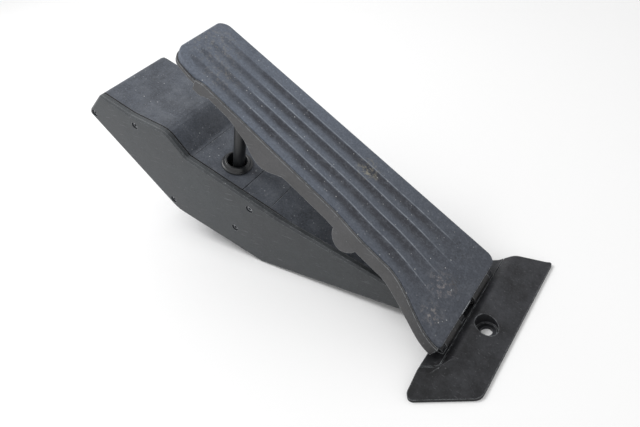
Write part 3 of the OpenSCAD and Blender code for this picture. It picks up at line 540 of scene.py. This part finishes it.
def fluteTree():
    tree, given = startTree("pressedFlutes", [
        ("Flute count", "Float"), ("Flute depth", "Float"), ("Pad length", "Float"),
        ("Depth direction", "Vector")])
    value = {name: given[name] for name in ("Flute count", "Flute depth", "Pad length")}
    for name in ("along", "across", "topSide"):
        value[name] = addNode(tree, "GeometryNodeInputNamedAttribute", {"Name": name})
    modes = {"Math": "operation", "MapRange": "interpolation_type"}
    # each step: its name, kind and mode, then what goes in, by name or as a number
    steps = [
        ("turns", "Math", "MULTIPLY", "across", "Flute count"),
        ("phase", "Math", "FRACT", "turns"),
        ("last", "Math", "SUBTRACT", "Flute count", 1.0),
        ("inside", "Math", "LESS_THAN", "turns", "last"),
        # a flute falls away slowly from its crest and rises steeply to the next
        ("fall", "MapRange", "SMOOTHSTEP", "phase", *flutes["fall"]),
        ("rise", "MapRange", "LINEAR", "phase", *flutes["rise"]),
        # the flutes end round near the top and die away at the heel
        ("aside", "Math", "SUBTRACT", "phase", flutes["bowMiddle"]),
        ("squared", "Math", "POWER", "aside", 2.0),
        ("bow", "Math", "MULTIPLY", "squared", flutes["bow"]),
        ("fromTop", "Math", "SUBTRACT", "Pad length", "along"),
        ("reach", "Math", "SUBTRACT", "fromTop", "bow"),
        ("head", "MapRange", "SMOOTHSTEP", "reach", *flutes["head"]),
        ("heel", "MapRange", "SMOOTHSTEP", "along", *flutes["heel"]),
        ("ends", "Math", "MULTIPLY", "head", "heel"),
        ("kept", "Math", "MULTIPLY", "ends", "topSide"),
        ("deeper", "MapRange", "LINEAR", "reach", *flutes["shallowUntil"], flutes["shallow"]),
        ("slopes", "Math", "MULTIPLY", "fall", "rise"),
        ("sunk", "Math", "MULTIPLY", "slopes", "deeper"),
        ("placed", "Math", "MULTIPLY", "sunk", "inside"),
        ("groove", "Math", "MULTIPLY", "placed", "kept"),
        ("amount", "Math", "MULTIPLY", "groove", "Flute depth"),
        # crests between flutes, and the brim of each round end, marked for a painted highlight
        ("ridge", "MapRange", "LINEAR", "phase", flutes["crestWidth"], 0.0),
        ("later", "Math", "GREATER_THAN", "turns", 0.5),
        ("line", "Math", "MULTIPLY", "ridge", "later"),
        ("nearHead", "Math", "COMPARE", "head", 0.5, 0.4),
        ("steep", "Math", "GREATER_THAN", "phase", 0.5),
        ("brimPart", "Math", "MULTIPLY", "nearHead", "steep"),
        ("brim", "Math", "MULTIPLY", "brimPart", "inside"),
        ("lines", "Math", "MAXIMUM", "line", "brim"),
        ("crest", "Math", "MULTIPLY", "lines", "kept")]
    for name, kind, mode, *terms in steps:
        value[name] = addNode(tree, "ShaderNode" + kind, {
            i: value.get(term, term) for i, term in enumerate(terms)}, **{modes[kind]: mode})
    offset = addNode(tree, "ShaderNodeVectorMath", {
        0: given["Depth direction"], "Scale": value["amount"]}, operation="SCALE")
    shape = given["Geometry"]
    for name in ("groove", "crest"):
        shape = addNode(tree, "GeometryNodeStoreNamedAttribute", {
            "Geometry": shape, "Name": name, "Value": value[name]}, domain="POINT")
    moved = addNode(tree, "GeometryNodeSetPosition", {"Geometry": shape, "Offset": offset})
    return endTree(tree, moved, given["Finish"])


padMaterial = rubberPadMaterial()
rubberPad = padSheet(padMaterial)
growPiece(rubberPad, fluteTree(), {
    "Flute count": float(flutes["count"]), "Flute depth": flutes["depth"] * mm,
    "Pad length": pad["length"], "Finish": padMaterial,
    "Depth direction": tuple((onPedal(0, 0, 1) - onPedal(0, 0, 0)) / mm)})
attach(rubberPad, "pedal")
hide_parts("pedal_pad")
print("pad made:", len(rubberPad.data.polygons), "faces")


# The push rod and the rubber sleeve that it goes through

deck = dict(cornerX=-196.5, cornerZ=75.4, slope=22.9)
rod = dict(holeX=-171.7, acrossY=9.0, shift=1.5, lean=22.0, below=11.5, above=50.3, radius=3.9,
           neck=2.5, collar=2.9, chamfer=0.4, lowBall=3.6, highBall=4.0)
sleeve = dict(inner=6.5, outer=10.0, height=3.8, tube=7.5, plate=1.3)

slope, lean = math.radians(deck["slope"]), math.radians(rod["lean"])
holeZ = deck["cornerZ"] - (rod["holeX"] - deck["cornerX"]) * math.tan(slope)
lowBall = Vector((rod["holeX"] + rod["shift"] * math.cos(slope) - rod["below"] * math.sin(lean),
                  rod["acrossY"],
                  holeZ - rod["shift"] * math.sin(slope) - rod["below"] * math.cos(lean))) * mm
rodPlace = Matrix.Translation(lowBall) @ Matrix.Rotation(lean, 4, "Y")
sleevePlace = Matrix.Translation(Vector((rod["holeX"], rod["acrossY"], holeZ)) * mm) \
    @ Matrix.Rotation(slope, 4, "Y")


def ball(radius, centre, start, end, steps=10):
    # part of a ball's outline, angles from the axis' lower end
    angles = [math.radians(start + (end - start) * i / steps) for i in range(steps + 1)]
    return [(radius * math.sin(a), centre - radius * math.cos(a)) for a in angles]


top = rod["below"] + rod["above"]
r, neck, collar = rod["radius"], rod["neck"], rod["collar"]
shank = r - rod["chamfer"]
rodOutline = ball(rod["lowBall"], 0, 2, 136) \
    + [(neck, 3.0), (neck, 6.6), (collar, 7.0), (shank, 7.0), (r, 7.5), (r, top - 8.5),
       (shank, top - 8), (collar, top - 8), (neck, top - 7.6), (neck, top - 3.6)] \
    + ball(rod["highBall"], top, 40, 178)
pushRod = turnedPiece("pushRod", rodOutline, rodPlace, finishes["smoothAcetal"], 64)
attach(pushRod, "rod")
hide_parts("push_rod")

i, o, h, t = sleeve["inner"], sleeve["outer"], sleeve["height"], sleeve["tube"]
low = -sleeve["plate"] - 2
sleeveOutline = [(i, low + 0.3), (i + 0.3, low), (t - 0.3, low), (t, low + 0.3), (t, 0.05),
                 (o - 0.3, 0.05), (o, 0.35), (o, 1.0), (o - 0.2, 1.3), (o - 0.9, 1.6),
                 (o - 1.7, 3.2), (o - 2.1, h - 0.1), (o - 2.5, h), (i + 0.6, h),
                 (i + 0.2, h - 0.15), (i, h - 0.5), (i, low + 0.3)]
rodSleeve = turnedPiece("rodSleeve", sleeveOutline, sleevePlace, finishes["satinRubber"])
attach(rodSleeve, "base")
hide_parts("grommet")
print("rod and sleeve made")


# Return springs of round wire, coiled at a fixed length in the boxes of the parts they stand for

springs = dict(perTurn=40, sides=12, pressedShare=0.27)


def coiledSpring(name, node, wire, turns):
    low, high = (Vector(corner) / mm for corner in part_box(node))
    middle = (low + high) / 2
    radius = (high.x - low.x - wire) / 2
    bottom, top = low.z + wire / 2, high.z - wire / 2
    steps, sides = turns * springs["perTurn"], springs["sides"]
    points, faces = [], []
    for i in range(steps + 1):
        angle = 2 * math.pi * i / springs["perTurn"]
        height = bottom + (top - bottom) * i / steps
        for k in range(sides):
            around = 2 * math.pi * k / sides
            reach = radius + wire / 2 * math.cos(around)
            points.append(Vector((middle.x + reach * math.cos(angle),
                                  middle.y + reach * math.sin(angle),
                                  height + wire / 2 * math.sin(around))) * mm)
    for i in range(steps):
        for k in range(sides):
            m = (k + 1) % sides
            faces.append((i * sides + k, (i + 1) * sides + k, (i + 1) * sides + m, i * sides + m))
    faces.append(tuple(range(sides)))
    faces.append(tuple(reversed(range(steps * sides, (steps + 1) * sides))))
    spring = newPiece(name, points, faces, finishes["drawnSpringWire"], 50)
    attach(spring, "base")
    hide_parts(node)
    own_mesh(spring)


coiledSpring("outerReturnSpring", "return_spring_outer", wire=1.1, turns=5)
coiledSpring("innerReturnSpring", "return_spring_inner", wire=0.88, turns=6)
print("springs made")


# Cover screws: one six-lobed head, set at five places by a node tree

screws = dict(places=[(-280.6, 93.5), (-238.0, 91.5), (-228.5, 32.2), (-151.0, 47.5),
                      (-171.0, 25.5)],
              outerFace=-10.0, sink=0.8, headRadius=2.0, headHeight=0.9, headChamfer=(0.3, 0.25),
              shankRadius=1.4, shankEnd=0.0, lobeOuter=1.25, lobeInner=0.85, recessDepth=1.0,
              recessTaper=0.9, lobeCount=6, largestTurn=1.0, seed=4)


def screwHead(material):
    # built along +Z with its top at 0, in mm turned to metres
    steps, points, faces = 36, [], []
    head, height, shank = screws["headRadius"], screws["headHeight"], screws["shankRadius"]
    inward, downward = screws["headChamfer"]

    def lobes(angle):
        wave = 0.5 + 0.5 * math.cos(screws["lobeCount"] * angle)
        return screws["lobeInner"] + (screws["lobeOuter"] - screws["lobeInner"]) * wave

    end = screws["outerFace"] + screws["sink"] - screws["shankEnd"]
    outline = [(lambda a: lobes(a) * screws["recessTaper"], -screws["recessDepth"]), (lobes, 0.0),
               (lambda a: head - inward, 0.0), (lambda a: head, -downward),
               (lambda a: head, -height), (lambda a: shank, -height), (lambda a: shank, end)]
    for radius, level in outline:
        for k in range(steps):
            angle = 2 * math.pi * k / steps
            points.append(Vector((radius(angle) * math.cos(angle),
                                  radius(angle) * math.sin(angle), level)) * mm)
    for low in range(0, steps * (len(outline) - 1), steps):
        for k in range(steps):
            m = (k + 1) % steps
            faces.append((low + m, low + k, low + steps + k, low + steps + m))
    faces.append(tuple(range(steps)))
    faces.append(tuple(reversed(range(len(points) - steps, len(points)))))
    return newPiece("screwPattern", points, faces, material, 35)


def scatterTree():
    tree, given = startTree("screwsInPlace", [
        ("Screw", "Object"), ("Largest turn", "Float"), ("Seed", "Int")])
    dots = addNode(tree, "GeometryNodeMeshToPoints", {"Mesh": given["Geometry"]})
    screw = addNode(tree, "GeometryNodeObjectInfo", {"Object": given["Screw"]}).outputs["Geometry"]
    turn = addNode(tree, "FunctionNodeRandomValue", {"Max": given["Largest turn"],
                                                     "Seed": given["Seed"]}, data_type="FLOAT")
    lying = addNode(tree, "ShaderNodeCombineXYZ", {"X": math.pi / 2})
    own = addNode(tree, "ShaderNodeCombineXYZ", {"Z": turn.outputs[1]})
    placed = addNode(tree, "GeometryNodeInstanceOnPoints", {
        "Points": dots, "Instance": screw, "Rotation": lying})
    spun = addNode(tree, "GeometryNodeRotateInstances", {"Instances": placed, "Rotation": own})
    return endTree(tree, spun, given["Finish"])


screwMetal = finishes["zincPlatedScrew"]
pattern = screwHead(screwMetal)
coverScrews = newPiece("coverScrews", [
    Vector((x, screws["outerFace"] + screws["sink"], z)) * mm for x, z in screws["places"]],
    [], screwMetal)
growPiece(coverScrews, scatterTree(), {
    "Screw": pattern, "Largest turn": screws["largestTurn"], "Seed": screws["seed"],
    "Finish": screwMetal})
bpy.data.objects.remove(pattern)
coverScrews.data.set_sharp_from_angle(angle=math.radians(35))
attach(coverScrews, "base")
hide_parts("cover_screws")
print("screws set:", len(coverScrews.data.polygons), "faces")


# Floor, light and camera

studio = dict(floorSize=30.0, floorColour="#ffffff", lampEnergy=7.2, lampSize=0.5,
              lampPlace=(-0.75, -0.15, 1.0), lampAim=(-0.12, 0.02, 0.05), skyLight=0.62,
              fillEnergy=1.0, fillSize=1.0, fillPlace=(0.7, -0.7, 0.7))


def paleFloor():
    half = studio["floorSize"] / 2
    material, tree, shader = startMaterial("paperSweep")
    feed(tree, shader, {"Base Color": studio["floorColour"], "Roughness": 0.9,
                        "Specular IOR Level": 0.1})
    floor = newPiece("paperFloor", [(-half, -half, 0), (half, -half, 0), (half, half, 0),
                                    (-half, half, 0)], [(0, 1, 2, 3)], material)


def softLamp(name, energy, size, place):
    data = bpy.data.lights.new(name, "AREA")
    data.energy, data.shape, data.size = energy, "SQUARE", size
    lamp = bpy.data.objects.new(name, data)
    lamp.location = place
    aim = Vector(studio["lampAim"]) - Vector(place)
    lamp.rotation_euler = aim.to_track_quat("-Z", "Y").to_euler()
    bpy.context.scene.collection.objects.link(lamp)


paleFloor()
softLamp("windowLight", studio["lampEnergy"], studio["lampSize"], studio["lampPlace"])
softLamp("fillLight", studio["fillEnergy"], studio["fillSize"], studio["fillPlace"])

# the room is white to the eye and in reflections, and dimmer as a light
world = bpy.data.worlds.new("paleRoom")
world.use_nodes = True
sky = world.node_tree
ray = addNode(sky, "ShaderNodeLightPath")
seen = addNode(sky, "ShaderNodeMath", {0: ray.outputs["Is Camera Ray"],
                                       1: ray.outputs["Is Glossy Ray"]}, operation="MAXIMUM")
strength = addNode(sky, "ShaderNodeMapRange", {0: seen, 3: studio["skyLight"], 4: 1.0})
feed(sky, sky.nodes["Background"], {"Color": (1, 1, 1, 1), "Strength": strength})
bpy.context.scene.world = world

# place, turn and lens come from the photograph's own vanishing points
view = dict(place=(0.080, -0.195, 0.263), right=(0.8069, 0.5645, -0.1737),
            up=(-0.2499, 0.5927, 0.7656), back=(0.5352, -0.5744, 0.6194), lens=32.625)
cameraData = bpy.data.cameras.new("photoCamera")
cameraData.sensor_width, cameraData.lens = 36, view["lens"]
cameraData.clip_start = 0.01
camera = bpy.data.objects.new("photoCamera", cameraData)
turn = Matrix((view["right"], view["up"], view["back"])).transposed()
camera.rotation_euler = turn.to_quaternion().normalized().to_euler()
camera.location = view["place"]
bpy.context.scene.collection.objects.link(camera)
bpy.context.scene.camera = camera
bpy.context.scene.view_settings.view_transform = "Standard"
print("studio ready")

bpy.context.view_layer.update()
